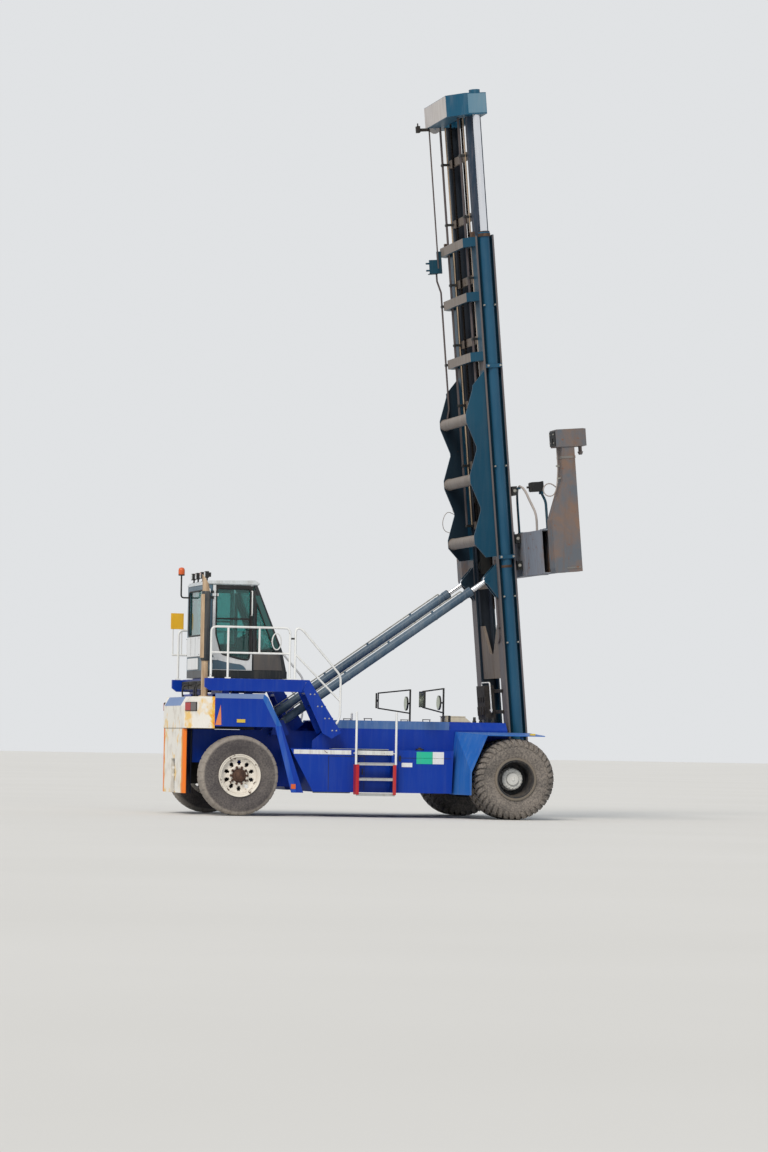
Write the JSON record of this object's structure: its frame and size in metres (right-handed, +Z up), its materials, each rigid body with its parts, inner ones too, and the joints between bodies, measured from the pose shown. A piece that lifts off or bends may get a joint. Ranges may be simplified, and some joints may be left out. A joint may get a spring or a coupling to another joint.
{
  "type": "empty container handler",
  "caption": "Lift truck for empty containers: counterweight chassis with a raised rear cab, leaning two-stage mast, tilt cylinders and a telescopic side spreader.",
  "frame": {"origin": "on the ground under the middle of the overall length and width", "axes": "+X forward to the mast and spreader, +Y to the driver's left, +Z up"},
  "size_m": [6.1318, 6.184, 12.1828],
  "materials": {
    "blue_paint": "deep blue gloss enamel, dusty",
    "light_blue_paint": "lighter blue enamel, sun-bleached",
    "white_weight": "white enamel with orange scrapes",
    "white_paint": "white enamel",
    "black_iron": "black painted castings, oily",
    "rusty_pipe": "heat-tanned steel",
    "dark_teal_paint": "dark teal enamel",
    "roof_paint": "pale grey enamel",
    "tinted_glass": "green tinted safety glass",
    "seat_fabric": "dark woven fabric",
    "black_plastic": "black moulded plastic",
    "orange_lens": "orange lens",
    "tyre_rubber": "dusty tyre rubber",
    "rim_paint": "dark grey rim, white hub",
    "white_rim_paint": "white rim with rust",
    "mast_paint": "dark teal-blue enamel with brown dust",
    "chrome_rod": "hard chrome",
    "chain_steel": "oiled leaf chain",
    "rusty_paint": "worn dark paint with rust",
    "grey_paint": "grey paint, worn",
    "steel_blue_paint": "steel blue enamel"
  },
  "bodies": {
    "chassis": {"frame": "blue_paint", "counterweight": "white_weight", "rear_fenders": "blue_paint", "side_tanks": "blue_paint", "raised_deck": "light_blue_paint", "front_fenders": "light_blue_paint", "drive_axle": "black_iron", "steer_axle": "black_iron", "engine": "black_iron", "cab_platform": "blue_paint", "stairs": "blue_paint", "boarding_ladders": "white_paint", "handrails": "white_paint", "exhaust": "rusty_pipe", "cab_floor": "dark_teal_paint", "cab_rear": "white_paint", "cab_front": "dark_teal_paint", "cab_quarters": "white_paint", "cab_roof": "roof_paint", "cab_glass": "tinted_glass", "driver_seat": "seat_fabric", "steering_console": "black_plastic", "mirrors": "black_plastic", "work_lamps": "black_plastic", "beacon": "orange_lens"},
    "cab_door_left": {"door_left": "white_paint", "door_glass_left": "tinted_glass"},
    "cab_door_right": {"door_right": "white_paint", "door_glass_right": "tinted_glass"},
    "drive_wheels_left": {"drive_tyres_left": "tyre_rubber", "drive_rims_left": "rim_paint"},
    "drive_wheels_right": {"drive_tyres_right": "tyre_rubber", "drive_rims_right": "rim_paint"},
    "knuckle_left": {"steer_knuckle_left": "black_iron"},
    "knuckle_right": {"steer_knuckle_right": "black_iron"},
    "steer_wheel_left": {"steer_tyre_left": "tyre_rubber", "steer_rim_left": "white_rim_paint"},
    "steer_wheel_right": {"steer_tyre_right": "tyre_rubber", "steer_rim_right": "white_rim_paint"},
    "outer_mast": {"outer_rail_left": "mast_paint", "outer_rail_right": "mast_paint", "outer_cross_members": "mast_paint", "lift_tubes": "mast_paint"},
    "inner_mast": {"inner_rail_left": "mast_paint", "inner_rail_right": "mast_paint", "inner_cross_members": "mast_paint", "mast_head": "mast_paint", "lift_rods": "chrome_rod", "lift_chains": "chain_steel"},
    "lift_carriage": {"carriage": "rusty_paint"},
    "spreader": {"spreader_beam": "grey_paint"},
    "arm_left": {"spreader_arm_left": "rusty_paint"},
    "arm_right": {"spreader_arm_right": "rusty_paint"},
    "tilt_cylinder_left": {"tilt_barrel_left": "steel_blue_paint"},
    "tilt_cylinder_right": {"tilt_barrel_right": "steel_blue_paint"},
    "tilt_piston_left": {"tilt_rod_left": "chrome_rod"},
    "tilt_piston_right": {"tilt_rod_right": "chrome_rod"}
  },
  "joints": [
    {"name": "drive_spin_left", "type": "hinge", "parent": "chassis", "child": "drive_wheels_left", "pos_m": [2.25915, 1.65, 0.6675], "axis": [0, 1, 0], "continuous": true},
    {"name": "drive_spin_right", "type": "hinge", "parent": "chassis", "child": "drive_wheels_right", "pos_m": [2.25915, -1.65, 0.6675], "axis": [0, 1, 0], "continuous": true},
    {"name": "steer_left", "type": "hinge", "parent": "chassis", "child": "knuckle_left", "pos_m": [-2.24085, 1.1, 0.655], "axis": [0, 0, 1], "range_deg": [-36, 36]},
    {"name": "steer_right", "type": "hinge", "parent": "chassis", "child": "knuckle_right", "pos_m": [-2.24085, -1.1, 0.655], "axis": [0, 0, 1], "range_deg": [-36, 36]},
    {"name": "steer_spin_left", "type": "hinge", "parent": "knuckle_left", "child": "steer_wheel_left", "pos_m": [-2.24085, 1.3125, 0.655], "axis": [0, 1, 0], "continuous": true},
    {"name": "steer_spin_right", "type": "hinge", "parent": "knuckle_right", "child": "steer_wheel_right", "pos_m": [-2.24085, -1.3125, 0.655], "axis": [0, 1, 0], "continuous": true},
    {"name": "door_left_hinge", "type": "hinge", "parent": "chassis", "child": "cab_door_left", "pos_m": [-2.60285, 0.814, 3.07], "axis": [0, 0, 1], "range_deg": [0, 55]},
    {"name": "door_right_hinge", "type": "hinge", "parent": "chassis", "child": "cab_door_right", "pos_m": [-2.60285, -0.814, 3.07], "axis": [0, 0, -1], "range_deg": [0, 55]},
    {"name": "mast_tilt", "type": "hinge", "parent": "chassis", "child": "outer_mast", "pos_m": [2.67915, 0, 0.6], "axis": [0, 1, 0], "range_deg": [-1, 10]},
    {"name": "mast_lift", "type": "slide", "parent": "outer_mast", "child": "inner_mast", "axis": [-0.0872, 0, 0.9962], "range_m": [-1.95, 5]},
    {"name": "carriage_lift", "type": "slide", "parent": "inner_mast", "child": "lift_carriage", "axis": [-0.0872, 0, 0.9962], "range_m": [-1.95, 5]},
    {"name": "side_shift", "type": "slide", "parent": "lift_carriage", "child": "spreader", "axis": [0, 1, 0], "range_m": [-0.6, 0.6]},
    {"name": "arm_left_out", "type": "slide", "parent": "spreader", "child": "arm_left", "axis": [0, 1, 0], "range_m": [0, 3.066]},
    {"name": "arm_right_out", "type": "slide", "parent": "spreader", "child": "arm_right", "axis": [0, -1, 0], "range_m": [0, 3.066]},
    {"name": "tilt_swing_left", "type": "hinge", "parent": "chassis", "child": "tilt_cylinder_left", "pos_m": [-1.46086, 0.75, 1.5], "axis": [0, 1, 0], "range_deg": [-0.55, 3.79]},
    {"name": "tilt_stroke_left", "type": "slide", "parent": "tilt_cylinder_left", "child": "tilt_piston_left", "axis": [0.8183, 0, 0.5748], "range_m": [-0.058, 0.537]},
    {"name": "tilt_swing_right", "type": "hinge", "parent": "chassis", "child": "tilt_cylinder_right", "pos_m": [-1.46086, -0.75, 1.5], "axis": [0, 1, 0], "range_deg": [-0.55, 3.79]},
    {"name": "tilt_stroke_right", "type": "slide", "parent": "tilt_cylinder_right", "child": "tilt_piston_right", "axis": [0.8183, 0, 0.5748], "range_m": [-0.058, 0.537]}
  ],
  "couplings": [
    {"joint": "steer_right", "follows": "steer_left", "ratio": 1},
    {"joint": "carriage_lift", "follows": "mast_lift", "ratio": 1},
    {"joint": "arm_right_out", "follows": "arm_left_out", "ratio": 1},
    {"joint": "tilt_swing_left", "follows": "mast_tilt", "ratio": 0.34879},
    {"joint": "tilt_stroke_left", "follows": "mast_tilt", "m_per_rad": 3.0495},
    {"joint": "tilt_swing_right", "follows": "mast_tilt", "ratio": 0.34879},
    {"joint": "tilt_stroke_right", "follows": "mast_tilt", "m_per_rad": 3.0495}
  ]
}
